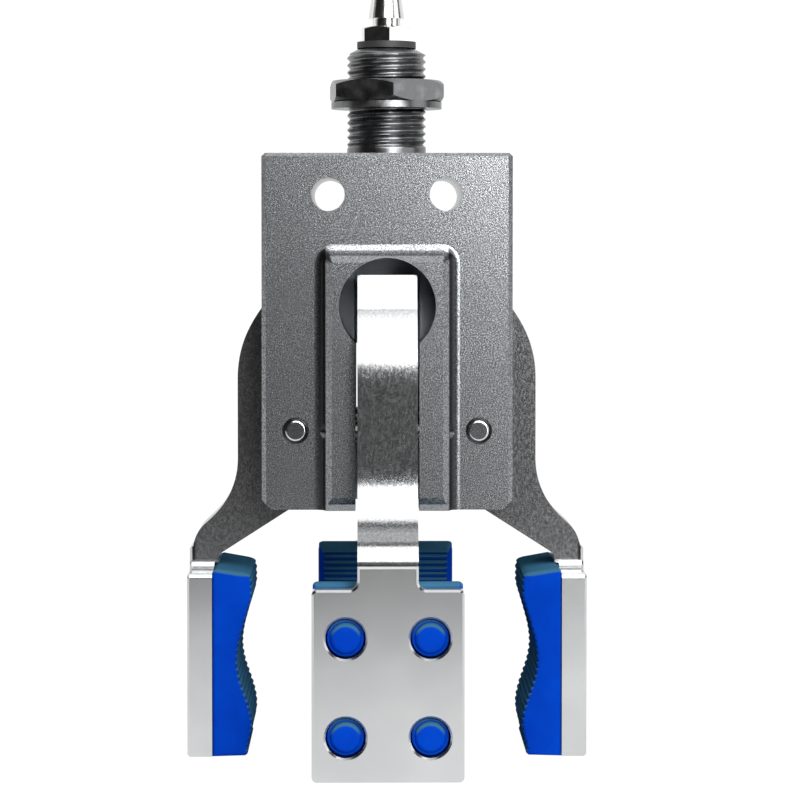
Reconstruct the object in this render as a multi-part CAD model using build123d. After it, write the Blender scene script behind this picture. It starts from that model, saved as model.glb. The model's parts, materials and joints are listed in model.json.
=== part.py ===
from build123d import *
import math
import os

# A four-jaw pneumatic gripper. All sizes are in millimetres and degrees.
# The origin is the centre of the body's top face, on the axis of the threaded stem.
# +Z runs up along the stem, the jaws hang down, -Y is the front and +X is the right.

# Body block
body_width = 34.0
body_depth = 26.0
body_height = 48.3
body_corner_chamfer = 0.6
body_top_chamfer = 0.45
body_foot_chamfer = 1.3

# Two holes straight through the body, from front to back
cross_hole_pitch = 16.0
cross_hole_diameter = 4.5
cross_hole_drop = 5.6

# Raised bosses on the front and back flats
boss_width = 16.7
boss_rise = 4.0
boss_top_drop = 13.85
boss_corner_radius = 1.0
boss_root_radius = 1.5
boss_edge_chamfer = 0.9
boss_foot_upper_height = 0.95
boss_foot_upper_depth = 0.55
boss_foot_lower_height = 1.05
boss_foot_lower_depth = 1.8

# Round port and finger slot in each of the four sides
port_diameter = 13.0
port_drop = 20.65
slot_side_clearance = 0.3

# Cylinder bore
bore_diameter = 20.0
bore_top_drop = 9.0

# Threaded stem
stem_diameter = 11.0
stem_height = 14.85
stem_seat_depth = 1.5
stem_seat_clearance = 0.3
stem_top_chamfer_height = 0.9
stem_top_diameter = 7.6
stem_spigot_diameter = 8.0
stem_spigot_end_gap = 0.5
air_passage_diameter = 2.4
port_thread_diameter = 5.0
port_thread_depth = 5.5

# Seal under the stem's foot
stem_ring_section = 1.0
stem_ring_diameter = 9.5
ring_squeeze_gap = 0.02

# Jam nut and washer on the stem
nut_across_flats = 15.0
nut_height = 3.0
nut_foot_height = 7.35
nut_turn = 6.0
nut_chamfer_angle = 30.0
thread_fit_clearance = 0.03
washer_diameter = 15.4
washer_thickness = 0.9

# Hose fitting in the top of the stem
gasket_diameter = 8.2
gasket_thickness = 0.9
fitting_across_flats = 6.6
fitting_hex_height = 2.05
fitting_neck_diameter = 3.9
fitting_neck_height = 1.2
barb_diameter = 5.0
barb_tip_diameter = 3.5
barb_height = 5.2
fitting_bore_diameter = 1.8
fitting_thread_length = 4.5

# Piston and its seal
piston_running_clearance = 0.05
piston_top_gap = 0.2
piston_thickness = 4.0
seal_land = 0.7
seal_section = 1.5
seal_groove_width = 1.8

# Wedge cone under the piston, with a skirt that is slotted for the four finger noses
cone_top_diameter = 19.4
cone_tail_diameter = 12.9
cone_tail_end_drop = 26.0
cone_nose_gap = 0.35
wedge_skirt_diameter = 19.0
wedge_slot_side_clearance = 0.5
spring_pocket_clearance = 0.2
spring_pocket_top_drop = 20.5
stroke = 3.0

# Screw that holds the cone to the piston
cone_screw_diameter = 3.0
cone_screw_clearance = 0.1
cone_screw_grip = 2.0
cone_screw_head_diameter = 5.5
cone_screw_head_height = 2.8
cone_screw_socket_across_flats = 2.5
cone_screw_socket_depth = 1.5

# Fingers
finger_thickness = 8.0
finger_top_drop = 16.45
finger_crown_offset = 1.65
finger_shoulder_offset = 3.45
finger_shoulder_drop = 21.0
finger_back_top_drop = 31.0
finger_back_foot_rise = 6.2
finger_sweep_radius = 11.0
finger_sweep_angle = 47.0
finger_knee_radius = 5.0
finger_foot_offset = 6.25
foot_outer_reach = 26.9
foot_thickness = 3.6
underside_reach = 14.2
underside_fall = 1.3
underside_slope = 32.6
nose_reach = 8.5
nose_radius = 1.5
nose_height = 2.6
finger_hub_half = 3.5
finger_hub_top_drop = 26.5
finger_edge_round = 0.5
closing_angle = 8.0

# Pivot pins
pivot_rise = 10.7
side_pivot_reach = 12.4
end_pivot_reach = 14.7
pin_diameter = 3.0
pin_running_clearance = 0.03
pin_end_dome = 0.35
pin_mouth_chamfer = 0.25
boss_pin_recess = 0.35

# Jaw plate at the foot of each finger
plate_width = 20.0
plate_height = 25.3
plate_top_fall = 9.05
plate_thickness = 3.4
plate_proud = 0.45
plate_corner_radius = 0.7
plate_shoulder_radius = 1.1
plate_edge_chamfer = 0.3
neck_height = 3.05
stud_hole_diameter = 5.3
stud_hole_countersink = 0.25
stud_pitch_across = 11.1
stud_pitch_up = 13.0
stud_row_drop = 6.4

# Moulded grip pad
pad_width = 20.0
pad_side_draft = 0.8
pad_thickness = 5.45
pad_top_rise = 0.65
pad_top_slope_fall = 0.6
pad_foot_gap = 0.1
pad_land_height = 3.4
pad_valley_depth = 1.9
pad_valley_drop = 13.35
pad_bulge_drop = 21.9
pad_bulge_set_back = 0.1
pad_heel_set_back = 0.5
pad_top_corner_round = 1.0
pad_edge_chamfer = 0.5
tooth_count = 29
tooth_depth = 0.32
stud_clearance = 0.2
stud_dome_set_in = 0.4
stud_dome_height = 0.7
stud_dome_round = 0.6
stud_recess = 0.25

# Finger return springs and the seat at the foot of the bore
seat_recess = 0.9
seat_plate_thickness = 2.2
seat_slot_half_width = 4.6
seat_slot_reach = 7.3
seat_hub_side_reach = 4.6
seat_hub_end_reach = 6.9
seat_hub_height = 7.6
seat_spigot_height = 1.5
finger_spring_rise = 4.8
finger_spring_wire = 0.5
finger_spring_diameter = 3.2
finger_spring_turns = 4
finger_spring_pocket_depth = 2.4
finger_spring_clearance = 0.15
spring_end_gap = 0.08
locating_peg_clearance = 0.25
locating_peg_length = 1.4

# Piston return spring
return_spring_wire = 0.8
return_spring_diameter = 7.6
return_spring_turns = 5

# Places worked out from the sizes above. A rise or a fall is counted from the body's foot.
slot_width = finger_thickness + 2 * slot_side_clearance
pivot_drop = body_height - pivot_rise
finger_back_foot_drop = body_height - finger_back_foot_rise
underside_drop = body_height + underside_fall
plate_top_drop = body_height + plate_top_fall
piston_top = -bore_top_drop - piston_top_gap
piston_foot = piston_top - piston_thickness
nose_centre_drop = finger_top_drop + nose_radius
finger_back_reach = foot_outer_reach - finger_foot_offset
finger_shoulder_reach = finger_back_reach - finger_shoulder_offset
finger_top_reach = finger_shoulder_reach - finger_crown_offset
foot_inner_reach = foot_outer_reach - foot_thickness
plate_outer_reach = foot_outer_reach + plate_proud
plate_inner_reach = plate_outer_reach - plate_thickness
plate_foot_drop = plate_top_drop + plate_height
pad_grip_reach = plate_inner_reach - pad_thickness
pad_valley_reach = pad_grip_reach + pad_valley_depth
pad_top = -plate_top_drop + pad_top_rise
pad_land_top = pad_top - pad_top_slope_fall
pad_foot = -plate_foot_drop + pad_foot_gap
seat_foot_drop = body_height - seat_recess
seat_hub_top_drop = seat_foot_drop - seat_hub_height
finger_spring_drop = seat_foot_drop - finger_spring_rise
hex_foot = stem_height + gasket_thickness
hex_top = hex_foot + fitting_hex_height
neck_top = hex_top + fitting_neck_height
socket_radius = cone_screw_socket_across_flats / math.sqrt(3)
spring_pocket_radius = return_spring_diameter / 2 + spring_pocket_clearance


def rotated(reach, drop, pivot_reach, angle):
    """Where a point of a finger goes when the finger closes by an angle about its pin."""
    out, up = reach - pivot_reach, pivot_drop - drop
    turn = math.radians(angle)
    new_reach = pivot_reach + out * math.cos(turn) + up * math.sin(turn)
    new_drop = pivot_drop - up * math.cos(turn) + out * math.sin(turn)
    return new_reach, new_drop


def cone_slope():
    """Radius gained per height on the wedge cone, so that its gap to the four noses stays about even."""
    slopes = []
    for pivot_reach in (side_pivot_reach, end_pivot_reach):
        reach, drop = rotated(nose_reach, nose_centre_drop, pivot_reach, closing_angle)
        slopes.append((reach - nose_reach) / (stroke + nose_centre_drop - drop))
    return sum(slopes) / len(slopes)


def cylinder_between(radius, low, high):
    """A cylinder on the stem's axis between two heights."""
    return Pos(0, 0, low) * Cylinder(radius, high - low, align=(Align.CENTER, Align.CENTER, Align.MIN))


def turned(points):
    """A solid turned about the stem's axis from a closed outline of radius and height."""
    outline = Plane.XZ * make_face(Polyline(*points, close=True))
    return revolve(outline, Axis.Z)


def hexagon_prism(across_flats, low, high, turn):
    """An upright hexagon with a corner towards the front, turned by an angle."""
    outline = RegularPolygon(across_flats / math.sqrt(3), 6, rotation=30)
    return Rot(0, 0, turn) * Pos(0, 0, low) * extrude(outline, high - low)


def chamfered_hexagon(across_flats, low, high, turn, both_ends):
    """A hexagon prism whose corners are turned off at its ends."""
    corner = across_flats / math.sqrt(3)
    flat = across_flats / 2
    rise = (corner - flat) * math.tan(math.radians(nut_chamfer_angle))
    foot = [(0, low), (flat, low), (corner, low + rise)] if both_ends else [(0, low), (corner, low)]
    blank = turned(foot + [(corner, high - rise), (flat, high), (0, high)])
    return blank & hexagon_prism(across_flats, low, high, turn)


def along_y(radius, length, x, z):
    """A cylinder along Y, centred on the XZ plane."""
    return Pos(x, 0, z) * Rot(90, 0, 0) * Cylinder(radius, length)


def along_x(radius, length, y, z):
    """A cylinder along X, centred on the YZ plane."""
    return Pos(0, y, z) * Rot(0, 90, 0) * Cylinder(radius, length)


def boss(facing):
    """One raised boss; facing is -1 for the front and 1 for the back."""
    height = body_height - boss_top_drop
    outline = Rectangle(boss_width, height, align=(Align.CENTER, Align.MAX))
    outline = fillet(outline.vertices().group_by(Axis.Y)[-1], boss_corner_radius)
    solid = extrude(outline, boss_rise)
    rim = solid.faces().sort_by(Axis.Z)[-1].edges().sort_by(Axis.Y)[1:]
    solid = chamfer(rim, boss_edge_chamfer)
    # The foot edge is broken in two slopes, drawn from the side with the rise along X.
    break_reach = boss_rise - boss_foot_upper_depth
    foot_break = Polyline(
        (boss_rise, boss_foot_upper_height + boss_foot_lower_height - height),
        (break_reach, boss_foot_lower_height - height),
        (break_reach - boss_foot_lower_depth, -height),
        (break_reach - boss_foot_lower_depth, -height - 1),
        (boss_rise + 1, -height - 1),
        (boss_rise + 1, boss_foot_upper_height + boss_foot_lower_height - height),
        close=True,
    )
    side = Plane(origin=(0, 0, 0), x_dir=(0, 0, 1), z_dir=(-1, 0, 0))
    solid -= side * extrude(make_face(foot_break), boss_width, both=True)
    # The outline is drawn flat with its height along Y, and then stood up against its flat.
    standing = Rot(90, 0, 0) * solid
    placed = Pos(0, -body_depth / 2, -boss_top_drop) * standing
    return placed if facing < 0 else Rot(0, 0, 180) * placed


def body_block():
    block = Box(body_width, body_depth, body_height, align=(Align.CENTER, Align.CENTER, Align.MAX))
    block = chamfer(block.edges().filter_by(Axis.Z), body_corner_chamfer)
    block = chamfer(block.faces().sort_by(Axis.Z)[-1].edges(), body_top_chamfer)
    foot_edges = block.faces().sort_by(Axis.Z)[0].edges().filter_by(Axis.Y)
    block = chamfer(foot_edges, body_foot_chamfer)
    for facing in (-1, 1):
        block += boss(facing)
        root = [
            edge
            for edge in block.edges()
            if abs(edge.center().Y - facing * body_depth / 2) < 0.01
            and abs(edge.center().X) < boss_width / 2 + 0.01
            and edge.center().Z < -boss_top_drop / 2
            and edge.center().Z > -body_height + 0.01
        ]
        block = fillet(root, boss_root_radius)
    block -= cylinder_between(bore_diameter / 2, -body_height - 1, -bore_top_drop)
    block -= cylinder_between(stem_spigot_diameter / 2, -bore_top_drop - 1, 1)
    block -= cylinder_between(stem_diameter / 2 + stem_seat_clearance, -stem_seat_depth, 1)
    ring_inner = stem_ring_diameter / 2 - stem_ring_section / 2 - ring_squeeze_gap
    ring_outer = stem_ring_diameter / 2 + stem_ring_section / 2 + ring_squeeze_gap
    ring_floor = -stem_seat_depth - stem_ring_section - ring_squeeze_gap
    block -= turned(
        [
            (ring_inner, ring_floor),
            (ring_outer, ring_floor),
            (ring_outer, -stem_seat_depth),
            (ring_inner, -stem_seat_depth),
        ]
    )
    for x in (-cross_hole_pitch / 2, cross_hole_pitch / 2):
        block -= along_y(cross_hole_diameter / 2, body_depth + 2, x, -cross_hole_drop)
    reach = body_width
    slot_height = body_height - port_drop + 1
    slot = Pos(0, 0, -port_drop - slot_height / 2)
    block -= slot * Box(2 * reach, slot_width, slot_height)
    block -= slot * Box(slot_width, 2 * reach, slot_height)
    block -= along_x(port_diameter / 2, 2 * reach, 0, -port_drop)
    block -= along_y(port_diameter / 2, 2 * reach, 0, -port_drop)
    for side in (-1, 1):
        block -= along_y(pin_diameter / 2, body_depth + 2, side * side_pivot_reach, -pivot_drop)
        block -= along_x(pin_diameter / 2, boss_width + 2, side * end_pivot_reach, -pivot_drop)
    mouths = [
        edge
        for edge in block.edges().filter_by(GeomType.CIRCLE)
        if abs(edge.radius - pin_diameter / 2) < 0.001
        and abs(edge.center().Z + pivot_drop) < 0.01
        and abs(abs(edge.center().Y) - body_depth / 2) < 0.01
    ]
    return chamfer(mouths, pin_mouth_chamfer)


def threaded_stem():
    outer = stem_diameter / 2
    top = stem_top_diameter / 2
    spigot = stem_spigot_diameter / 2
    passage = air_passage_diameter / 2
    socket = port_thread_diameter / 2
    spigot_foot = -bore_top_drop + stem_spigot_end_gap
    return turned(
        [
            (passage, spigot_foot),
            (spigot, spigot_foot),
            (spigot, -stem_seat_depth),
            (outer, -stem_seat_depth),
            (outer, stem_height - stem_top_chamfer_height),
            (top, stem_height),
            (socket, stem_height),
            (socket, stem_height - port_thread_depth),
            (passage, stem_height - port_thread_depth),
        ]
    )


def stem_seal():
    height = -stem_seat_depth - stem_ring_section / 2 - ring_squeeze_gap / 2
    return Pos(0, 0, height) * Torus(stem_ring_diameter / 2, stem_ring_section / 2)


def jam_nut():
    top = nut_foot_height + nut_height
    nut = chamfered_hexagon(nut_across_flats, nut_foot_height, top, nut_turn, True)
    bore = stem_diameter / 2 + thread_fit_clearance
    return nut - cylinder_between(bore, nut_foot_height - 1, top + 1)


def lock_washer():
    foot = nut_foot_height - washer_thickness
    ring = cylinder_between(washer_diameter / 2, foot, nut_foot_height)
    bore = stem_diameter / 2 + thread_fit_clearance
    return ring - cylinder_between(bore, foot - 1, nut_foot_height + 1)


def fitting_gasket():
    ring = cylinder_between(gasket_diameter / 2, stem_height, hex_foot)
    bore = port_thread_diameter / 2 + thread_fit_clearance
    return ring - cylinder_between(bore, stem_height - 1, hex_foot + 1)


def air_fitting():
    barb_root = barb_diameter / 2
    barb_tip = barb_tip_diameter / 2
    neck = fitting_neck_diameter / 2
    head = chamfered_hexagon(fitting_across_flats, hex_foot, hex_top, nut_turn, False)
    thread_foot = hex_foot - fitting_thread_length
    head += cylinder_between(port_thread_diameter / 2, thread_foot, hex_foot)
    head += turned(
        [
            (0, hex_top),
            (neck, hex_top),
            (neck, neck_top),
            (barb_root, neck_top),
            (barb_tip, neck_top + barb_height),
            (0, neck_top + barb_height),
        ]
    )
    bore = fitting_bore_diameter / 2
    return head - cylinder_between(bore, thread_foot - 1, neck_top + barb_height + 1)


def piston():
    outer = bore_diameter / 2 - piston_running_clearance
    groove_top = piston_top - seal_land
    groove_foot = groove_top - seal_groove_width
    groove = bore_diameter / 2 - seal_section - 2 * ring_squeeze_gap
    disc = turned(
        [
            (0, piston_foot),
            (outer, piston_foot),
            (outer, groove_foot),
            (groove, groove_foot),
            (groove, groove_top),
            (outer, groove_top),
            (outer, piston_top),
            (0, piston_top),
        ]
    )
    return disc - cylinder_between(cone_screw_diameter / 2, piston_foot - 1, piston_foot + cone_screw_grip)


def piston_seal():
    middle = piston_top - seal_land - seal_groove_width / 2
    radius = bore_diameter / 2 - ring_squeeze_gap - seal_section / 2
    return Pos(0, 0, middle) * Torus(radius, seal_section / 2)


def wedge_cone():
    slope = cone_slope()
    angle = math.atan(slope)
    # Cone radius at the height of the noses, one gap and one nose radius inside their centres.
    radius_at_nose = nose_reach - (cone_nose_gap + nose_radius) / math.cos(angle)
    top_radius = cone_top_diameter / 2
    tail_radius = cone_tail_diameter / 2
    cone_top = -nose_centre_drop + (top_radius - radius_at_nose) / slope
    cone_foot = -nose_centre_drop + (tail_radius - radius_at_nose) / slope
    wedge = turned(
        [
            (0, -cone_tail_end_drop),
            (tail_radius, -cone_tail_end_drop),
            (tail_radius, cone_foot),
            (top_radius, cone_top),
            (top_radius, piston_foot),
            (0, piston_foot),
        ]
    )
    skirt = cylinder_between(wedge_skirt_diameter / 2, -cone_tail_end_drop, piston_foot)
    skirt_height = cone_tail_end_drop + piston_foot
    nose_slot = Box(
        2 * bore_diameter,
        finger_thickness + 2 * wedge_slot_side_clearance,
        2 * skirt_height,
    )
    for turn in (0, 90):
        skirt -= Rot(0, 0, turn) * Pos(0, 0, -cone_tail_end_drop) * nose_slot
    wedge += skirt
    wedge -= cylinder_between(spring_pocket_radius, -cone_tail_end_drop - 1, -spring_pocket_top_drop)
    screw_hole = cone_screw_diameter / 2 + cone_screw_clearance
    return wedge - cylinder_between(screw_hole, -spring_pocket_top_drop - 1, piston_foot + 1)


def cone_screw():
    head_foot = -spring_pocket_top_drop - cone_screw_head_height
    screw = cylinder_between(cone_screw_head_diameter / 2, head_foot, -spring_pocket_top_drop)
    screw += cylinder_between(cone_screw_diameter / 2, -spring_pocket_top_drop, piston_foot + cone_screw_grip)
    socket = Pos(0, 0, head_foot) * extrude(RegularPolygon(socket_radius, 6), cone_screw_socket_depth)
    return screw - socket


def coil_spring(wire, diameter, length, turns):
    """An open coil spring that stands on the XY plane."""
    height = length - wire
    helix = Pos(0, 0, wire / 2) * Helix(height / turns, height, (diameter - wire) / 2)
    section = Plane(origin=helix @ 0, z_dir=helix % 0) * Circle(wire / 2)
    return sweep(section, path=helix, is_frenet=True)


def return_spring():
    low = -seat_hub_top_drop + spring_end_gap
    high = -spring_pocket_top_drop - spring_end_gap
    spring = coil_spring(return_spring_wire, return_spring_diameter, high - low, return_spring_turns)
    return Pos(0, 0, low) * spring


def spring_seat():
    """The cross-shaped foot of the bore, with the hub that carries the return springs."""
    plate_top = -seat_foot_drop + seat_plate_thickness
    plate = cylinder_between(bore_diameter / 2, -seat_foot_drop, plate_top)
    for turn in (0, 90, 180, 270):
        notch = Box(bore_diameter, 2 * seat_slot_half_width, 2 * seat_plate_thickness)
        notch_place = Pos(seat_slot_reach + bore_diameter / 2, 0, -seat_foot_drop + seat_plate_thickness / 2)
        plate -= Rot(0, 0, turn) * notch_place * notch
    hub_height = -seat_hub_top_drop - plate_top
    hub = Box(2 * seat_hub_side_reach, 2 * seat_hub_end_reach, hub_height)
    seat = plate + Pos(0, 0, plate_top + hub_height / 2) * hub
    spigot = return_spring_diameter / 2 - return_spring_wire - locating_peg_clearance
    seat += cylinder_between(spigot, -seat_hub_top_drop, -seat_hub_top_drop + seat_spigot_height)
    peg = finger_spring_diameter / 2 - finger_spring_wire - locating_peg_clearance
    seat += along_x(peg, 2 * (seat_hub_side_reach + locating_peg_length), 0, -finger_spring_drop)
    seat += along_y(peg, 2 * (seat_hub_end_reach + locating_peg_length), 0, -finger_spring_drop)
    return seat


def finger_outline(pivot_reach):
    """The side view of a finger, drawn with reach along X and height along Y."""
    hub_reach = pivot_reach - finger_hub_half
    slope = math.tan(math.radians(underside_slope))
    hub_foot = -underside_drop + (underside_reach - hub_reach) * slope
    foot_corner = -underside_drop - (foot_inner_reach - underside_reach) * slope
    nose_inner = nose_reach - nose_radius
    top = -finger_top_drop
    with BuildLine() as line:
        nose = JernArc((nose_inner, -nose_centre_drop), (0, 1), nose_radius, -90)
        crown = Line(nose @ 1, (finger_top_reach, top))
        shoulder = Line(crown @ 1, (finger_shoulder_reach, -finger_shoulder_drop))
        back_start = (finger_back_reach, -finger_back_top_drop)
        Spline(shoulder @ 1, back_start, tangents=[(1.0, -1.4), (0, -1)])
        back = Line(back_start, (finger_back_reach, -finger_back_foot_drop))
        sweep_arc = JernArc(back @ 1, (0, -1), finger_sweep_radius, finger_sweep_angle)
        knee_gain = finger_knee_radius * (1 - math.cos(math.radians(finger_sweep_angle)))
        run = (foot_outer_reach - knee_gain - (sweep_arc @ 1).X) / math.sin(math.radians(finger_sweep_angle))
        slant = Line(sweep_arc @ 1, (sweep_arc @ 1) + (sweep_arc % 1) * run)
        knee = JernArc(slant @ 1, slant % 1, finger_knee_radius, -finger_sweep_angle)
        outer_foot = Line(knee @ 1, (foot_outer_reach, -plate_top_drop))
        ledge = Line(outer_foot @ 1, (plate_inner_reach, -plate_top_drop))
        pad_side = Line(ledge @ 1, (plate_inner_reach, pad_top + pad_foot_gap))
        pad_roof = Line(pad_side @ 1, (foot_inner_reach, pad_top + pad_foot_gap))
        inner = Line(pad_roof @ 1, (foot_inner_reach, foot_corner))
        underside = Line(inner @ 1, (hub_reach, hub_foot))
        hub = Line(underside @ 1, (hub_reach, -finger_hub_top_drop))
        throat = Line(hub @ 1, (nose_inner, -nose_centre_drop - nose_height))
        Line(throat @ 1, nose @ 0)
    return make_face(line.line)


def jaw_plate():
    """The plate at the foot of a finger, standing across the X axis, with its four stud holes."""
    outline = Rectangle(plate_width, plate_height, align=(Align.CENTER, Align.MAX))
    outline = fillet(outline.vertices(), plate_corner_radius)
    neck = Rectangle(finger_thickness, neck_height, align=(Align.CENTER, Align.MIN))
    outline += neck
    inside = [
        corner
        for corner in outline.vertices()
        if abs(corner.Y) < 0.01 and abs(abs(corner.X) - finger_thickness / 2) < 0.01
    ]
    outline = fillet(inside, plate_shoulder_radius)
    holes = GridLocations(stud_pitch_across, stud_pitch_up, 2, 2)
    middle = Pos(0, -stud_row_drop - stud_pitch_up / 2)
    for place in holes:
        outline -= middle * place * Circle(stud_hole_diameter / 2)
    plate = extrude(outline, plate_outer_reach - plate_inner_reach)
    outer_face = plate.faces().sort_by(Axis.Z)[-1]
    plate = chamfer(outer_face.outer_wire().edges(), plate_edge_chamfer)
    outer_face = plate.faces().sort_by(Axis.Z)[-1]
    rims = [edge for wire in outer_face.inner_wires() for edge in wire.edges()]
    return chamfer(rims, stud_hole_countersink)


def on_plate(shape, reach):
    """Stands a shape drawn flat with its height along Y against the finger's foot, at a reach along X."""
    return Pos(reach, 0, -plate_top_drop) * Rot(0, 0, 90) * Rot(90, 0, 0) * shape


def finger(pivot_reach):
    """A finger with its jaw plate, for the right side, milled in one piece."""
    arm = Rot(90, 0, 0) * extrude(finger_outline(pivot_reach), finger_thickness / 2, both=True)
    rounded = [
        edge
        for edge in arm.edges().filter_by(Axis.Y)
        if abs(edge.center().X - pivot_reach + finger_hub_half) < 0.01
    ]
    arm = fillet(rounded, 2 * finger_edge_round)
    arm += on_plate(jaw_plate(), plate_inner_reach)
    arm -= Pos(pivot_reach, 0, -pivot_drop) * Rot(90, 0, 0) * Cylinder(
        pin_diameter / 2 + pin_running_clearance, 2 * finger_thickness
    )
    pocket = Cylinder(
        finger_spring_diameter / 2 + finger_spring_clearance,
        2 * finger_spring_pocket_depth,
    )
    arm -= Pos(pivot_reach - finger_hub_half, 0, -finger_spring_drop) * Rot(0, 90, 0) * pocket
    return arm


def grip_curve():
    """The middle line of the pad's gripping face: a land, a valley and a bulge."""
    land_foot = pad_land_top - pad_land_height
    bulge_reach = pad_grip_reach + pad_bulge_set_back
    heel_reach = pad_grip_reach + pad_heel_set_back
    land = Line((pad_grip_reach, pad_land_top), (pad_grip_reach, land_foot))
    wave = Spline(
        (pad_grip_reach, land_foot),
        (pad_valley_reach, -plate_top_drop - pad_valley_drop),
        (bulge_reach, -plate_top_drop - pad_bulge_drop),
        (heel_reach, pad_foot),
        tangents=[(0.25, -1), (-0.35, -1)],
    )
    return Wire([land, wave])


def tooth_comb():
    """The space outside the teeth of the gripping face, drawn with reach along X and height along Y."""
    curve = grip_curve()
    teeth = []
    for step in range(2 * tooth_count + 1):
        along = step / (2 * tooth_count)
        point, way = curve @ along, curve % along
        depth = 0 if step % 2 else tooth_depth
        teeth.append((point.X - way.Y * depth, point.Y + way.X * depth))
    teeth[0] = (teeth[0][0], pad_top + 1)
    teeth[-1] = (teeth[-1][0], pad_foot - 1)
    outside = pad_grip_reach - 2
    return make_face(Polyline((outside, pad_top + 1), *teeth, (outside, pad_foot - 1), close=True))


def pad_blank():
    """The pad before its teeth and studs, with sides and a roof that taper towards the gripping face."""
    face = grip_curve()
    sides = Polyline(face @ 1, (plate_inner_reach, pad_foot), (plate_inner_reach, pad_top), face @ 0)
    side_view = make_face(Wire([*face.edges(), *sides.edges()]))
    top_corner = [
        corner
        for corner in side_view.vertices()
        if abs(corner.Y - pad_land_top) < 0.01 and corner.X < plate_inner_reach - 1
    ]
    side_view = fillet(top_corner, pad_top_corner_round)
    block = Rot(90, 0, 0) * extrude(side_view, pad_width / 2, both=True)
    base_half = pad_width / 2
    # The tapered sides are drawn on past the gripping face, so that they cut it cleanly.
    tip_reach = pad_grip_reach - pad_thickness
    tip_half = base_half - 2 * pad_side_draft
    plan = make_face(
        Polyline(
            (plate_inner_reach, -base_half),
            (plate_inner_reach, base_half),
            (tip_reach, tip_half),
            (tip_reach, -tip_half),
            close=True,
        )
    )
    block &= Pos(0, 0, pad_foot - 1) * extrude(plan, plate_height + pad_top_rise + 2)
    side_faces = [face for face in block.faces() if abs(face.normal_at().Y) > 0.9]
    return chamfer([edge for face in side_faces for edge in face.edges()], pad_edge_chamfer)


def grip_pad():
    """The moulded pad of the right finger, with teeth across its face and four domed studs."""
    block = pad_blank() - Rot(90, 0, 0) * extrude(tooth_comb(), pad_width, both=True)
    stud_radius = stud_hole_diameter / 2 - stud_clearance
    stud_length = plate_outer_reach - plate_inner_reach - stud_recess
    stud = Cylinder(
        stud_radius,
        stud_length - stud_dome_height,
        align=(Align.CENTER, Align.CENTER, Align.MIN),
    )
    dome = Cylinder(
        stud_radius - stud_dome_set_in,
        stud_length,
        align=(Align.CENTER, Align.CENTER, Align.MIN),
    )
    stud += fillet(dome.edges().sort_by(Axis.Z)[-1], stud_dome_round)
    middle = Pos(0, -stud_row_drop - stud_pitch_up / 2)
    for place in GridLocations(stud_pitch_across, stud_pitch_up, 2, 2):
        block += on_plate(middle * place * stud, plate_inner_reach)
    return block


def finger_spring(hub_reach, pivot_reach):
    """The return spring of the right finger, lying along X between the hub and the finger's pocket."""
    low = hub_reach + spring_end_gap
    high = pivot_reach - finger_hub_half + finger_spring_pocket_depth - spring_end_gap
    spring = coil_spring(finger_spring_wire, finger_spring_diameter, high - low, finger_spring_turns)
    return Pos(low, 0, -finger_spring_drop) * Rot(0, 90, 0) * spring


def pivot_pin(length):
    pin = Cylinder(pin_diameter / 2, length)
    return fillet(pin.edges().filter_by(GeomType.CIRCLE), pin_end_dome)


# The four sides: name, turn about the stem's axis, reach of the pivot, reach of the spring hub, pin length
sides = [
    ("right", 0, side_pivot_reach, seat_hub_side_reach, body_depth),
    ("back", 90, end_pivot_reach, seat_hub_end_reach, boss_width - 2 * boss_pin_recess),
    ("left", 180, side_pivot_reach, seat_hub_side_reach, body_depth),
    ("front", 270, end_pivot_reach, seat_hub_end_reach, boss_width - 2 * boss_pin_recess),
]

nodes = {
    "body_block": body_block(),
    "threaded_stem": threaded_stem(),
    "stem_seal": stem_seal(),
    "jam_nut": jam_nut(),
    "lock_washer": lock_washer(),
    "fitting_gasket": fitting_gasket(),
    "air_fitting": air_fitting(),
    "piston": piston(),
    "piston_seal": piston_seal(),
    "wedge_cone": wedge_cone(),
    "cone_screw": cone_screw(),
    "return_spring": return_spring(),
    "spring_seat": spring_seat(),
}
for name, turn, pivot_reach, hub_reach, pin_length in sides:
    around = Rot(0, 0, turn)
    nodes["finger_" + name] = around * finger(pivot_reach)
    nodes["pad_" + name] = around * grip_pad()
    nodes["finger_spring_" + name] = around * finger_spring(hub_reach, pivot_reach)
    pin_place = Pos(pivot_reach, 0, -pivot_drop) * Rot(90, 0, 0)
    nodes["pivot_pin_" + name] = around * pin_place * pivot_pin(pin_length)

os.makedirs("parts", exist_ok=True)
for name, solid in nodes.items():
    export_step(solid, "parts/" + name + ".step")
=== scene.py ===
import json
import math

import bmesh
import bpy
from mathutils import Matrix, Vector


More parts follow.
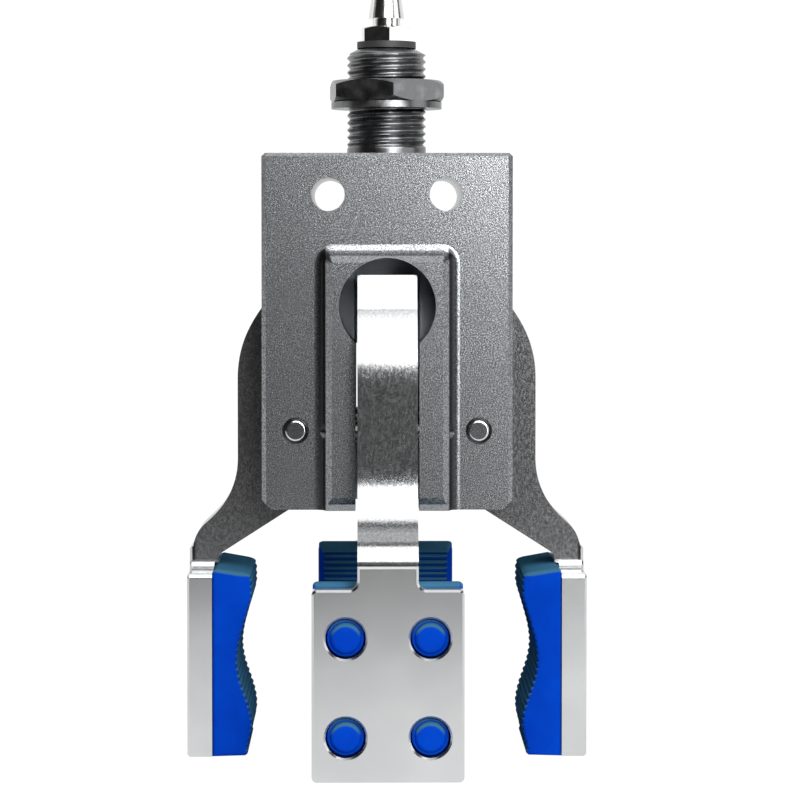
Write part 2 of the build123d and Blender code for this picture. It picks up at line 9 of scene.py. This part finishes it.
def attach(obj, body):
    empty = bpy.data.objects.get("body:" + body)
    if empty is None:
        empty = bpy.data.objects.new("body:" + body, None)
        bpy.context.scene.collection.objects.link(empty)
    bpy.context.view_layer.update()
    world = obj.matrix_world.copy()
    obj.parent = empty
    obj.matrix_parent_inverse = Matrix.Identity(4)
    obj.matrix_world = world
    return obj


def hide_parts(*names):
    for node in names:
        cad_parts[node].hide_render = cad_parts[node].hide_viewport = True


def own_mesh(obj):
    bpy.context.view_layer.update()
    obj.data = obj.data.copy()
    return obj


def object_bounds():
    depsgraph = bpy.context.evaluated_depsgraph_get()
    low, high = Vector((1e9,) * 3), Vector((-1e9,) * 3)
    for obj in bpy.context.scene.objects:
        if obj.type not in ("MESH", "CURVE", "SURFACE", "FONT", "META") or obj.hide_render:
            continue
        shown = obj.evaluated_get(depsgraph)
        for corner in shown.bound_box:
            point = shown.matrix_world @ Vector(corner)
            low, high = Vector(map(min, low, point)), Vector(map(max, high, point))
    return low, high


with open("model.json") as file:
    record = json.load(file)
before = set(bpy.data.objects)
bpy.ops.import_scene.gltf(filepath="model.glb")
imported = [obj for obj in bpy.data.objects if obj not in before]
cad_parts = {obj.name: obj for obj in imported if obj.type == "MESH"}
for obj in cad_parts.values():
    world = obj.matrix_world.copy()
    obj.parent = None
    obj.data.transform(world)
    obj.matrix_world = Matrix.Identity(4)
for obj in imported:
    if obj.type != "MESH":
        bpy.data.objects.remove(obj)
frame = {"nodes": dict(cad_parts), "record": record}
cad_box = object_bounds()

# A four-jaw pneumatic gripper. The origin is the centre of the body's top face; +Z is up the stem
# and -Y is the front. Lengths of its pieces are in millimetres, and MM turns them into metres.
# The studio round it is in metres.
MM = 0.001

body_flat = 13.0  # from the stem's axis to the body's front and back flats
boss_side = 8.35  # from the stem's axis to the sides of the bosses
side_pivot_reach, end_pivot_reach = 12.4, 14.7  # of the pins of the side fingers, and of the other two
pivot_height = -37.6
pad_face, pad_base = 18.5, 23.95  # reach of a pad's gripping face and of its back


class Value:
    """A value on its way through a finish. Sums written with it become Math nodes."""

    def __init__(self, finish, socket):
        self.finish = finish
        self.socket = socket

    def math(self, operation, *others):
        sockets = dict(enumerate((self, *others)))
        return self.finish.add("ShaderNodeMath", {"operation": operation}, sockets)

    def __add__(self, other):
        return self.math("ADD", other)

    def __sub__(self, other):
        return self.math("SUBTRACT", other)

    def __mul__(self, other):
        return self.math("MULTIPLY", other)

    def __truediv__(self, other):
        return self.math("DIVIDE", other)

    def __rsub__(self, other):
        return self.finish.add("ShaderNodeMath", {"operation": "SUBTRACT"}, {0: other, 1: self})

    def __rtruediv__(self, other):
        return self.finish.add("ShaderNodeMath", {"operation": "DIVIDE"}, {0: other, 1: self})

    __radd__ = __add__
    __rmul__ = __mul__

    def output(self, name):
        """Another output of the same node, by its name or its place in the row."""
        return Value(self.finish, self.socket.node.outputs[name])


class Finish:
    """A material being made, node by node."""

    def __init__(self, name):
        self.material = bpy.data.materials.new(name)
        self.material.use_nodes = True
        self.material.node_tree.nodes.clear()
        self.place = self.add("ShaderNodeTexCoord").output("Object")

    def add(self, kind, settings=None, sockets=None):
        """Any node: its type, then its settings, then the values or links of its sockets."""
        node = self.material.node_tree.nodes.new(kind)
        for name, setting in (settings or {}).items():
            setattr(node, name, setting)
        for name, value in (sockets or {}).items():
            socket = node.inputs[name]
            if isinstance(value, Value):
                self.material.node_tree.links.new(value.socket, socket)
            elif socket.type == "RGBA":
                socket.default_value = (*value, 1.0)
            else:
                socket.default_value = value
        return Value(self, node.outputs[0]) if node.outputs else node

    def vector(self, operation, *vectors):
        return self.add("ShaderNodeVectorMath", {"operation": operation}, dict(enumerate(vectors)))

    def split(self, vector):
        """The three coordinates of a vector."""
        across = self.add("ShaderNodeSeparateXYZ", {}, {0: vector})
        return across, across.output("Y"), across.output("Z")

    def noise(self, per_mm, detail=3.0, stretch=(1, 1, 1)):
        """Noise from 0 to 1, with this many blotches to a millimetre."""
        scaled = self.vector("MULTIPLY", self.place, tuple(per_mm / MM * along for along in stretch))
        sockets = {"Vector": scaled, "Scale": 1.0, "Detail": detail, "Roughness": 0.55}
        return self.add("ShaderNodeTexNoise", {"noise_dimensions": "3D"}, sockets)

    def between(self, value, low, high):
        """Maps a value from low..high to 0..1, smoothly and held at both ends."""
        sockets = {"Value": value, "From Min": low, "From Max": high}
        return self.add("ShaderNodeMapRange", {"interpolation_type": "SMOOTHSTEP"}, sockets)

    def band(self, value, rise, fall):
        """1 between two places and 0 outside; each place is given as the two ends of its step."""
        return self.between(value, *rise) * (1 - self.between(value, *fall))

    def mix(self, share, first, second):
        """Goes from the first colour to the second."""
        # Sockets 0, 6 and 7 are the share and the two colours, and output 2 is a colour.
        mixed = self.add("ShaderNodeMix", {"data_type": "RGBA"}, {0: share, 6: first, 7: second})
        return mixed.output(2)

    def bump(self, height, strength, depth):
        sockets = {"Height": height, "Strength": strength, "Distance": depth * MM}
        return self.add("ShaderNodeBump", {}, sockets)

    def surface(self, **sockets):
        """Ends the finish with a Principled shader."""
        named = {name.replace("_", " "): value for name, value in sockets.items()}
        shader = self.add("ShaderNodeBsdfPrincipled", {}, named)
        self.add("ShaderNodeOutputMaterial", {}, {"Surface": shader})
        return self.material


def height_of(finish):
    """Height in the gripper's frame."""
    return finish.split(finish.place)[2] / MM


def sideways_of(finish):
    """How far a place is from the stem's axis, across the gripper's front and along its depth."""
    across, depth, _ = finish.split(finish.place)
    return across.math("ABSOLUTE") / MM, depth.math("ABSOLUTE") / MM


def reach_of(finish):
    """How far out a place is along its own finger."""
    across, depth = sideways_of(finish)
    return across.math("MAXIMUM", depth)


def blasted_body():
    """Dark grey anodised aluminium, blasted first, so that every grain shines a little differently."""
    finish = Finish("blasted_body")
    dark_grain, bright_grain = (0.1, 0.106, 0.112), (0.37, 0.38, 0.39)
    worn, painted_shade = (0.19, 0.197, 0.207), (0.035, 0.036, 0.038)
    grain = finish.noise(4.0, detail=2.0)
    fine = finish.noise(8.0, detail=2.0)
    cloud = finish.noise(0.07, detail=2.0)
    grains = grain * 0.55 + fine * 0.45
    colour = finish.mix(finish.between(grains, 0.34, 0.66), dark_grain, bright_grain)
    colour = finish.mix(finish.between(cloud, 0.3, 0.75) * 0.3, colour, worn)
    # Painted shade: the hollow along the sides of the two bosses and the mouths of the pin holes are
    # painted dark.
    across, depth = sideways_of(finish)
    hollow_shade = finish.band(across, (boss_side - 0.15, boss_side), (boss_side + 0.45, boss_side + 1.55))
    hollow_shade = hollow_shade * finish.between(depth, body_flat + 0.005, body_flat + 0.03)
    pin_across, pin_up = across - side_pivot_reach, height_of(finish) - pivot_height
    from_pin = (pin_across * pin_across + pin_up * pin_up).math("SQRT")
    pin_mouth_shade = finish.band(from_pin, (1.45, 1.5), (1.75, 1.85))
    return finish.surface(
        Base_Color=finish.mix(hollow_shade.math("MAXIMUM", pin_mouth_shade), colour, painted_shade),
        Metallic=0.93,
        Roughness=finish.between(fine, 0.2, 0.8) * 0.08 + 0.21,
        Normal=finish.bump(grains, 0.34, 0.05),
    )


def finger_finish():
    """Dark coated arm with the streaks of its milling; the jaw plate and its neck's face are bare."""
    finish = Finish("finger_finish")
    dark_coat, pale_coat, wear_and_painted_shade = (0.2, 0.203, 0.208), (0.31, 0.315, 0.32), (0.05, 0.05, 0.05)
    dull_satin, clear_satin = (0.565, 0.575, 0.58), (0.63, 0.635, 0.64)
    streak = finish.noise(4.0, detail=3.0, stretch=(1, 1, 0.3))
    speck = finish.noise(3.6, detail=2.0)
    milled = finish.noise(5.0, detail=2.0, stretch=(0.25, 0.25, 1))
    haze = finish.noise(0.08, detail=2.0)
    reach, height = reach_of(finish), height_of(finish)
    # The coat ends at the plate's shoulders, and 2.1 mm higher on the neck's outer face.
    on_neck = finish.between(reach, 26.93, 26.99)
    on_arm = finish.between(height - on_neck * 2.1, -56.3, -56.1)
    # Painted shade: a dark line is painted on the outer face just above the neck.
    knee_shade_line = finish.between(reach, 26.4, 26.7) * (1 - finish.between(height, -53.85, -53.6))
    grains = streak * 0.5 + speck * 0.5
    coated = finish.mix(finish.between(grains, 0.32, 0.68), dark_coat, pale_coat)
    coated = finish.mix(knee_shade_line, coated, wear_and_painted_shade)
    satin = finish.mix(finish.between(haze, 0.3, 0.7), dull_satin, clear_satin)
    rough_arm = finish.between(grains, 0.3, 0.7) * 0.08 + 0.15
    rough_plate = milled * 0.05 + 0.2
    return finish.surface(
        Base_Color=finish.mix(on_arm, satin, coated),
        Metallic=on_arm * -0.07 + 1.0,
        Roughness=rough_arm * on_arm + rough_plate * (1 - on_arm),
        Normal=finish.bump(grains * on_arm + milled * 0.1 * (1 - on_arm), 0.16, 0.04),
    )


def black_steel():
    """Black-oxided steel with a slight gloss and a few rubbed places."""
    finish = Finish("black_steel")
    oxide, wear_and_painted_shade = (0.16, 0.162, 0.166), (0.38, 0.385, 0.39)
    rub = finish.noise(0.5, detail=4.0)
    fine = finish.noise(4.0, detail=2.0)
    return finish.surface(
        Base_Color=finish.mix(finish.between(rub, 0.45, 0.8) * 0.5, oxide, wear_and_painted_shade),
        Metallic=1.0,
        Roughness=finish.between(rub, 0.3, 0.7) * 0.1 + 0.26,
        Normal=finish.bump(fine, 0.12, 0.03),
    )


def ground_steel():
    """Ground and polished steel with fine rings; the pins in the bosses are painted nearly black, as
    painted shade.
    """
    finish = Finish("ground_steel")
    fine = finish.noise(3.0, detail=3.0)
    # Painted shade: the pins in the bosses, which show in the slot gaps, are painted nearly black.
    boss_pin_shade = finish.between(sideways_of(finish)[1], body_flat + 0.4, body_flat + 0.45)
    bright = finish.mix(fine, (0.55, 0.56, 0.58), (0.72, 0.73, 0.75))
    return finish.surface(
        Base_Color=finish.mix(boss_pin_shade, bright, (0.07, 0.07, 0.072)),
        Metallic=1.0,
        Roughness=fine * 0.12 + 0.1,
        Normal=finish.bump(fine, 0.1, 0.03),
    )


def bright_plating():
    """Bright plated brass of the hose fitting."""
    finish = Finish("bright_plating")
    haze = finish.noise(0.9, detail=4.0)
    return finish.surface(
        Base_Color=finish.mix(haze, (0.66, 0.66, 0.64), (0.8, 0.8, 0.79)),
        Metallic=1.0,
        Roughness=haze * 0.14 + 0.1,
        Normal=finish.bump(haze, 0.06, 0.05),
    )


def spring_wire():
    """Drawn spring steel."""
    finish = Finish("spring_wire")
    drawn = finish.noise(2.0, detail=3.0)
    return finish.surface(
        Base_Color=finish.mix(drawn, (0.4, 0.4, 0.42), (0.6, 0.61, 0.63)),
        Metallic=1.0,
        Roughness=drawn * 0.15 + 0.25,
    )


def turned_aluminium():
    """Clear anodised, turned aluminium: pale, bluish and satin, with the rings that turning leaves."""
    finish = Finish("turned_aluminium")
    rings = finish.noise(2.2, detail=2.0, stretch=(0.2, 0.2, 1))
    return finish.surface(
        Base_Color=finish.mix(rings, (0.5, 0.54, 0.58), (0.62, 0.66, 0.7)),
        Metallic=0.3,
        Roughness=rings * 0.1 + 0.35,
        Normal=finish.bump(rings, 0.15, 0.03),
    )


def black_rubber():
    """Matt black rubber of the seals and the gasket."""
    finish = Finish("black_rubber")
    skin = finish.noise(1.6, detail=3.0)
    return finish.surface(
        Base_Color=finish.mix(skin, (0.012, 0.012, 0.012), (0.03, 0.03, 0.03)),
        Roughness=skin * 0.2 + 0.45,
        Normal=finish.bump(skin, 0.2, 0.05),
    )


def blue_rubber():
    """Moulded blue polyurethane; its toothed face is painted darker as painted shade, and its roof
    greener as a painted reflection.
    """
    finish = Finish("blue_rubber")
    deep_blue, blue = (0.001, 0.029, 0.29), (0.001, 0.037, 0.34)
    tooth_shade_blue, roof_reflection_teal = (0.002, 0.03, 0.13), (0.03, 0.1, 0.17)
    cloud = finish.noise(0.16, detail=3.0)
    skin = finish.noise(2.4, detail=2.0)
    facing = finish.add("ShaderNodeTexCoord").output("Normal")
    outward = finish.vector("NORMALIZE", finish.vector("MULTIPLY", finish.place, (1.0, 1.0, 0.0)))
    turned_out = finish.vector("DOT_PRODUCT", facing, outward).output("Value")
    gripping = finish.between(0 - turned_out, 0.45, 0.75)
    roof = finish.between(finish.split(facing)[2], 0.05, 0.4)
    colour = finish.mix(finish.between(cloud, 0.3, 0.72), deep_blue, blue)
    # Painted shade darkens the gripping faces, and a painted reflection turns the roof teal.
    colour = finish.mix(gripping, colour, tooth_shade_blue)
    colour = finish.mix(roof, colour, roof_reflection_teal)
    return finish.surface(
        Base_Color=colour,
        Roughness=skin * 0.14 + 0.4,
        Specular_IOR_Level=0.0,
        Normal=finish.bump(skin, 0.1, 0.04),
    )


finishes = {
    "body_coated": blasted_body(),
    "finger_metal": finger_finish(),
    "dark_steel": black_steel(),
    "ground_steel": ground_steel(),
    "bright_plated": bright_plating(),
    "spring_steel": spring_wire(),
    "plain_aluminium": turned_aluminium(),
    "black_rubber": black_rubber(),
    "blue_rubber": blue_rubber(),
}
slot_of_node = {part["node"]: part["material_slot"] for part in frame["record"]["subparts"]}


def wear(piece, slot):
    """Gives a piece its finish."""
    piece.data.materials.clear()
    piece.data.materials.append(finishes[slot])


def smooth(piece, angle=30.0):
    """Smooth shading that keeps the edges sharper than an angle."""
    for polygon in piece.data.polygons:
        polygon.use_smooth = True
    piece.data.set_sharp_from_angle(angle=math.radians(angle))


def soften(piece, width):
    """Breaks the sharp edges of a piece by a fine bevel."""
    bevel = piece.modifiers.new("broken_edges", "BEVEL")
    bevel.width = width * MM
    bevel.segments = 2
    bevel.limit_method = "ANGLE"
    bevel.angle_limit = math.radians(30.0)
    bevel.harden_normals = True


def object_of(name, mesh):
    """Puts a finished bmesh into the scene."""
    data = bpy.data.meshes.new(name)
    mesh.to_mesh(data)
    mesh.free()
    made = bpy.data.objects.new(name, data)
    bpy.context.scene.collection.objects.link(made)
    return made


def piece_of(name, mesh, body, node, sharp_angle):
    """Makes a piece from a finished bmesh, which rides on a body and stands for a CAD node."""
    bmesh.ops.recalc_face_normals(mesh, faces=mesh.faces)
    piece = object_of(name, mesh)
    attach(piece, body)
    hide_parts(node)
    wear(piece, slot_of_node[node])
    smooth(piece, sharp_angle)
    return piece


def wall(mesh, rings, closed=True):
    """Joins rings of the same number of vertices by quads; a ring of one vertex is a point."""
    for lower, upper in zip(rings, rings[1:]):
        count = max(len(lower), len(upper))
        for index in range(count if closed else count - 1):
            follow = (index + 1) % count
            corners = [lower[index % len(lower)], lower[follow % len(lower)]]
            corners += [upper[follow % len(upper)], upper[index % len(upper)]]
            mesh.faces.new(list(dict.fromkeys(corners)))


def cap(mesh, rings):
    """Closes both ends of a wall."""
    mesh.faces.new(rings[0])
    mesh.faces.new(reversed(rings[-1]))


def turn_ring(mesh, radius, height, count):
    """A ring of vertices about the stem's axis; the radius is a length, or a function of the place."""
    ring = []
    for index in range(count):
        angle = 2 * math.pi * index / count
        reach = radius(angle, height) if callable(radius) else radius
        place = (reach * math.cos(angle) * MM, reach * math.sin(angle) * MM, height * MM)
        ring.append(mesh.verts.new(place))
    return ring


def threaded_stem():
    """The stem with its real thread, a bright plain ring at the foot and a lead-in at the top."""
    outer, pitch, groove_depth = 5.5, 1.0, 0.37
    thread_foot, thread_top, top, rim = 0.9, 13.95, 14.85, 3.8
    spigot, spigot_foot, seat_foot = 4.0, -8.5, -1.5
    passage, port, port_floor = 1.2, 2.5, 9.35
    around, ring_gap = 120, 0.1

    def thread(angle, height):
        turn = height / pitch - angle / (2 * math.pi)
        groove = (0.5 - 0.5 * math.cos(2 * math.pi * turn)) ** 0.8
        start = min(1.0, max(0.0, (height - thread_foot) / 0.5))
        lead_in = outer - (outer - rim) * max(0.0, height - thread_top) / (top - thread_top)
        return min(outer - groove_depth * groove * start, lead_in)

    line = [(passage, spigot_foot), (spigot, spigot_foot), (spigot, seat_foot), (outer, seat_foot)]
    line.append((outer, 0.0))
    steps = round(top / ring_gap)
    line += [(thread, top * step / steps) for step in range(1, steps + 1)]
    line += [(port, top), (port, port_floor), (passage, port_floor)]
    mesh = bmesh.new()
    rings = [turn_ring(mesh, radius, height, around) for radius, height in line]
    wall(mesh, rings + [rings[0]])
    piece_of("stem_with_thread", mesh, "housing", "threaded_stem", 40)


def curve_points(corners, per_span):
    """Points of a smooth curve through corners."""
    points = []
    last = len(corners) - 1
    for index in range(last):
        before, start = corners[max(index - 1, 0)], corners[index]
        stop, after = corners[index + 1], corners[min(index + 2, last)]
        for step in range(per_span):
            points.append(cubic(before, start, stop, after, step / per_span))
    points.append(Vector(corners[-1]))
    return points


def cubic(before, start, stop, after, share):
    """A point between start and stop on the smooth curve through four points."""
    before, start, stop, after = map(Vector, (before, start, stop, after))
    square, cube = share * share, share * share * share
    place = 2 * start + (stop - before) * share
    place += (2 * before - 5 * start + 4 * stop - after) * square
    place += (3 * start - before - 3 * stop + after) * cube
    return place / 2


def evenly(points, count):
    """The same line with evenly spaced points."""
    lengths = [0.0]
    for first, second in zip(points, points[1:]):
        lengths.append(lengths[-1] + (second - first).length)
    spaced = []
    index = 0
    for step in range(count + 1):
        wanted = lengths[-1] * step / count
        while index < len(lengths) - 2 and lengths[index + 1] < wanted:
            index += 1
        share = (wanted - lengths[index]) / (lengths[index + 1] - lengths[index])
        spaced.append(points[index].lerp(points[index + 1], share))
    return spaced


def rounding(gap, radius):
    """How far a rounded corner falls back from its face, this far from the corner."""
    short = max(0.0, radius - gap)
    return radius - math.sqrt(max(0.0, radius**2 - short**2))


def pad_side_view(inset):
    """The outline of a pad from its side, in reach and height, drawn in by an inset.

    The gripping face is a land, a valley, a bulge and a heel. Its teeth are rounded grooves
    across it, so a deeper inset swallows them."""
    roof, top, foot = -56.7, -57.3, -82.55
    top_corner, foot_corner, back_corner = 1.1, 0.35, 0.7
    teeth, per_tooth, tooth_depth = 29, 8, 0.32
    grip = [(pad_face, top), (pad_face, -59.0), (pad_face, -60.6), (18.8, -61.8), (19.55, -64.3)]
    grip += [(20.25, -67.0), (20.5, -69.4), (20.2, -71.6), (19.6, -73.5), (19.0, -75.25)]
    grip += [(18.6, -76.9), (pad_face, -78.3), (18.7, -79.7), (19.05, -81.1), (19.1, foot)]
    line = evenly(curve_points(grip, 12), teeth * per_tooth)
    outline = []
    for index, point in enumerate(line):
        before, after = line[max(index - 1, 0)], line[min(index + 1, len(line) - 1)]
        way = (after - before).normalized()
        phase = (index % per_tooth) / per_tooth
        inside = 0 < index < len(line) - 1
        groove = tooth_depth * (1 - abs(math.sin(math.pi * phase))) if inside else 0.0
        depth = max(inset, groove)
        depth += rounding(top - point.y, top_corner) + rounding(point.y - foot, foot_corner)
        height = min(top - inset, max(foot + inset, point.y + way.x * depth))
        outline.append((point.x - way.y * depth, height))
    back_inset = max(inset, 0.2)
    outline += [(pad_base - inset, foot + inset), (pad_base - inset, roof - back_corner)]
    outline += [(pad_base - back_inset, roof - back_inset), (pad_base - back_corner, roof - inset)]
    return outline


def grip_pad(side, turn):
    """One moulded pad with rounded edges and teeth, and the four studs in the jaw plate."""
    half, edge, face_share = 10.0, 0.6, 0.92
    edge_steps = 4
    stations = []
    for step in range(edge_steps + 1):
        angle = math.pi / 2 * step / edge_steps
        stations.append((half - edge + edge * math.sin(angle), edge * (1 - math.cos(angle))))
    stations = [(-across, inset) for across, inset in reversed(stations)] + stations
    mesh = bmesh.new()
    rings = []
    for across, inset in stations:
        ring = []
        for reach, height in pad_side_view(inset):
            # The sides taper from the back to the gripping face.
            share = face_share + (1 - face_share) * (reach - pad_face) / (pad_base - pad_face)
            ring.append(mesh.verts.new(Vector((reach, across * share, height)) * MM))
        rings.append(ring)
    wall(mesh, rings)
    cap(mesh, rings)
    for across in (-5.55, 5.55):
        for height in (-63.75, -76.75):
            stud(mesh, across, height)
    mesh.normal_update()
    bmesh.ops.triangulate(mesh, faces=[face for face in mesh.faces if len(face.verts) > 4])
    bmesh.ops.rotate(mesh, verts=mesh.verts, matrix=Matrix.Rotation(math.radians(turn), 3, "Z"))
    piece_of("moulded_pad_" + side, mesh, side + "_jaw", "pad_" + side, 50)


def stud(mesh, across, height):
    """One stud of a pad, along X through the jaw plate: a collar, and a smaller dome on its end."""
    collar, dome, dome_edge, crown = 2.45, 2.05, 0.6, 0.08
    root, collar_end, dome_end, collar_chamfer = 23.9, 26.4, 27.02, 0.1
    around, edge_steps = 40, 6
    line = [(0.0, root), (collar, root), (collar, collar_end - collar_chamfer)]
    line += [(collar - collar_chamfer, collar_end), (dome, collar_end)]
    for step in range(edge_steps + 1):
        angle = math.pi / 2 * step / edge_steps
        out, along = dome_edge * math.cos(angle), dome_edge * math.sin(angle)
        line.append((dome - dome_edge + out, dome_end - dome_edge + along))
    line.append((0.0, dome_end + crown))
    rings = []
    for radius, reach in line:
        count = around if radius else 1
        ring = []
        for index in range(count):
            angle = 2 * math.pi * index / count
            place = (reach, across + radius * math.cos(angle), height + radius * math.sin(angle))
            ring.append(mesh.verts.new(Vector(place) * MM))
        rings.append(ring)
    wall(mesh, rings)


def coil(name, node, place, wire, diameter, length, turns):
    """A coil spring with closed ends, along its place's Z axis."""
    radius, around, per_turn = (diameter - wire) / 2, 12, 28
    along, closed = Vector((0, 0, 1)), 1.0 / turns
    steps = turns * per_turn
    mesh = bmesh.new()
    rings = []
    for step in range(steps + 1):
        share = step / steps
        rise = min(1.0, max(0.0, (share - closed * 0.75) / (1 - closed * 1.5)))
        angle = 2 * math.pi * turns * share
        out = Vector((math.cos(angle), math.sin(angle), 0))
        middle = out * radius + along * (wire / 2 + rise * (length - wire))
        ring = []
        for index in range(around):
            turn = 2 * math.pi * index / around
            point = middle + (out * math.cos(turn) + along * math.sin(turn)) * wire / 2
            ring.append(mesh.verts.new(point * MM))
        rings.append(ring)
    wall(mesh, rings)
    cap(mesh, rings)
    bmesh.ops.transform(mesh, verts=mesh.verts, matrix=place)
    piece = piece_of(name, mesh, "housing", node, 60)
    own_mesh(piece)


def finger_spring(side, turn):
    """The spring between the seat's hub and a pocket in the finger, which holds the jaw open."""
    hub_reach, pocket_floor, height, end_gap = 4.6, 11.3, -42.6, 0.08
    if side in ("back", "front"):
        set_out = end_pivot_reach - side_pivot_reach
        hub_reach, pocket_floor = hub_reach + set_out, pocket_floor + set_out
    place = Matrix.Rotation(math.radians(turn), 4, "Z")
    place = place @ Matrix.Translation(Vector((hub_reach + end_gap, 0, height)) * MM)
    place = place @ Matrix.Rotation(math.radians(90), 4, "Y")
    length = pocket_floor - hub_reach - 2 * end_gap
    name, node, joint = "opening_spring_" + side, "finger_spring_" + side, side + "_pivot"
    coil(name, node, place, wire=0.5, diameter=3.2, length=length, turns=5)


def return_spring():
    """The spring that stands on the seat and lifts the piston."""
    foot, length = -39.72, 19.14
    place = Matrix.Translation(Vector((0, 0, foot)) * MM)
    name, node, joint = "piston_spring", "return_spring", "piston_slide"
    coil(name, node, place, wire=0.8, diameter=7.6, length=length, turns=7)


# The CAD nodes whose shape is right stay, with their finish and broken edges
broken_edges = {
    "body_block": 0.2,
    "jam_nut": 0.12,
    "lock_washer": 0.15,
    "fitting_gasket": 0.15,
    "air_fitting": 0.1,
    "finger_right": 0.12,
    "finger_back": 0.12,
    "finger_left": 0.12,
    "finger_front": 0.12,
    "spring_seat": 0.15,
    "wedge_cone": 0.12,
    "piston": 0.1,
}
for name, node in frame["nodes"].items():
    wear(node, slot_of_node[name])
    smooth(node)
    if name in broken_edges:
        soften(node, broken_edges[name])

# The pieces that Blender makes anew
threaded_stem()
for side, turn in (("right", 0), ("back", 90), ("left", 180), ("front", 270)):
    grip_pad(side, turn)
    finger_spring(side, turn)
return_spring()


def backdrop():
    """A pale floor that curves up into a backdrop behind the gripper."""
    floor = cad_box[0].z
    near, start, bend, top, half_width = -0.5, 0.45, 0.25, 1.6, 2.5
    bend_steps = 12
    line = [(near, floor), (start, floor)]
    for step in range(1, bend_steps + 1):
        angle = math.pi / 2 * step / bend_steps
        line.append((start + bend * math.sin(angle), floor + bend * (1 - math.cos(angle))))
    line.append((start + bend, top))
    mesh = bmesh.new()
    rows = [[mesh.verts.new((x, y, z)) for x in (-half_width, half_width)] for y, z in line]
    wall(mesh, rows, closed=False)
    made = object_of("backdrop", mesh)
    for polygon in made.data.polygons:
        polygon.use_smooth = True
    made.data.materials.append(backdrop_white())


def backdrop_white():
    """Pale paper that glows white to the camera and in reflections."""
    finish = Finish("backdrop_white")
    path = finish.add("ShaderNodeLightPath")
    seen = path.output("Is Camera Ray") + path.output("Is Glossy Ray")
    seen = seen + path.output("Is Transmission Ray")
    # Painted shade: in front of the gripper the floor's colour and glow fall off.
    painted_lit_share = finish.between(finish.split(finish.place)[1], -0.23, -0.04)
    paper = finish.mix(painted_lit_share, (0.05, 0.05, 0.05), (0.82, 0.82, 0.82))
    matt = finish.add("ShaderNodeBsdfDiffuse", {}, {"Color": paper})
    glow = finish.add("ShaderNodeEmission", {}, {"Color": (1.0, 1.0, 1.0), "Strength": 1.08})
    # A tenth stays matt, so that the floor keeps the gripper's shadow.
    both = finish.add("ShaderNodeMixShader", {}, {0: seen * painted_lit_share * 0.9, 1: matt, 2: glow})
    finish.add("ShaderNodeOutputMaterial", {}, {"Surface": both})
    return finish.material


def softbox(name, place, aim, width, height, power):
    """A rectangular lamp at a place, turned to its aim."""
    lamp = bpy.data.lights.new(name, "AREA")
    lamp.shape = "RECTANGLE"
    lamp.size = width
    lamp.size_y = height
    lamp.energy = power
    holder = bpy.data.objects.new(name, lamp)
    bpy.context.scene.collection.objects.link(holder)
    holder.location = place
    holder.rotation_euler = (Vector(aim) - Vector(place)).to_track_quat("-Z", "Y").to_euler()


def studio():
    """A large softbox above the camera, a ceiling panel, a panel at each side, and two by the camera."""
    scene = bpy.context.scene
    world = bpy.data.worlds.new("studio")
    scene.world = world
    world.use_nodes = True
    background = world.node_tree.nodes["Background"]
    background.inputs["Color"].default_value = (1.0, 1.0, 1.0, 1.0)
    background.inputs["Strength"].default_value = 0.015
    softbox("top_light", (0.12, -0.44, 0.37), (0, -0.02, -0.04), 0.56, 0.58, 4.9)
    softbox("ceiling_light", (0.0, 0.1, 0.62), (0, 0, 0), 0.5, 0.5, 1.2)
    softbox("corner_light", (0.122, -0.36, 0.075), (0, 0, -0.02), 0.16, 0.11, 0.88)
    softbox("low_light", (0.11, -0.31, -0.05), (0, 0, -0.02), 0.06, 0.14, 0.14)
    softbox("left_light", (-0.75, 0.12, 0.0), (0, 0, -0.04), 0.4, 0.5, 0.3)
    softbox("right_light", (0.75, -0.25, 0.1), (0, 0, -0.04), 0.5, 0.5, 1.3)
    scene.view_settings.view_transform = "Standard"


def photo_camera():
    """The camera stands 0.38 m away, just below the cross holes, and looks a little down."""
    place = Vector((-2.77, -379.9, -10.4)) * MM
    turn, dip = 0.01226, 0.03318
    data = bpy.data.cameras.new("photo_camera")
    data.sensor_width = 36.0
    data.lens = 122.2
    data.shift_y = -0.1
    data.clip_start = 0.01
    data.clip_end = 20.0
    camera = bpy.data.objects.new("photo_camera", data)
    bpy.context.scene.collection.objects.link(camera)
    ahead = (math.sin(turn) * math.cos(dip), math.cos(turn) * math.cos(dip), -math.sin(dip))
    camera.location = place
    camera.rotation_mode = "QUATERNION"
    camera.rotation_quaternion = Vector(ahead).to_track_quat("-Z", "Y")
    bpy.context.scene.camera = camera


backdrop()
studio()
photo_camera()
